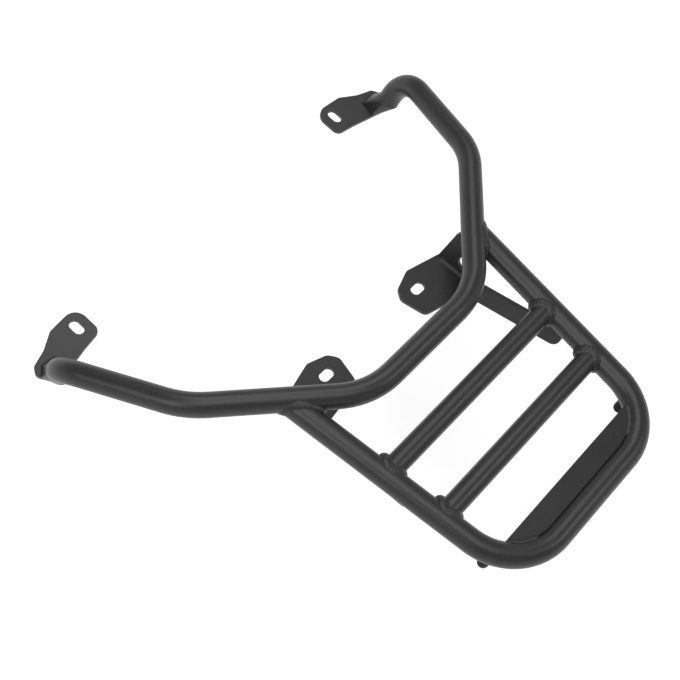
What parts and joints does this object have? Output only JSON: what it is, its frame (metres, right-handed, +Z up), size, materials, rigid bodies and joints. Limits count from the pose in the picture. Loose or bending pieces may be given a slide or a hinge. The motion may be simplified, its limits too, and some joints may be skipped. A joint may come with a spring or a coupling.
{
  "type": "motorcycle luggage rack",
  "caption": "Black welded tube luggage rack for a motorcycle tail, a wide hoop with slotted feet and a narrow platform with crossbars.",
  "frame": {"origin": "midway between the two middle slots, on the lower face of the bracket flanges", "axes": "+X to the rider's right, +Y forward towards the seat, +Z up"},
  "size_m": [0.4366, 0.4203, 0.0948],
  "materials": {
    "powder_coat": "satin black powder coat",
    "coated_weld": "satin black powder coat over weld beads"
  },
  "bodies": {
    "root": {"hoop_tube": "powder_coat", "platform_tube": "powder_coat", "crossbar_front": "powder_coat", "crossbar_rear": "powder_coat", "rear_plate": "powder_coat", "bracket_left": "powder_coat", "bracket_right": "powder_coat", "pin_left": "powder_coat", "pin_right": "powder_coat", "hoop_welds": "coated_weld", "crossbar_welds": "coated_weld", "plate_welds": "coated_weld", "bracket_welds": "coated_weld"}
  },
  "joints": []
}
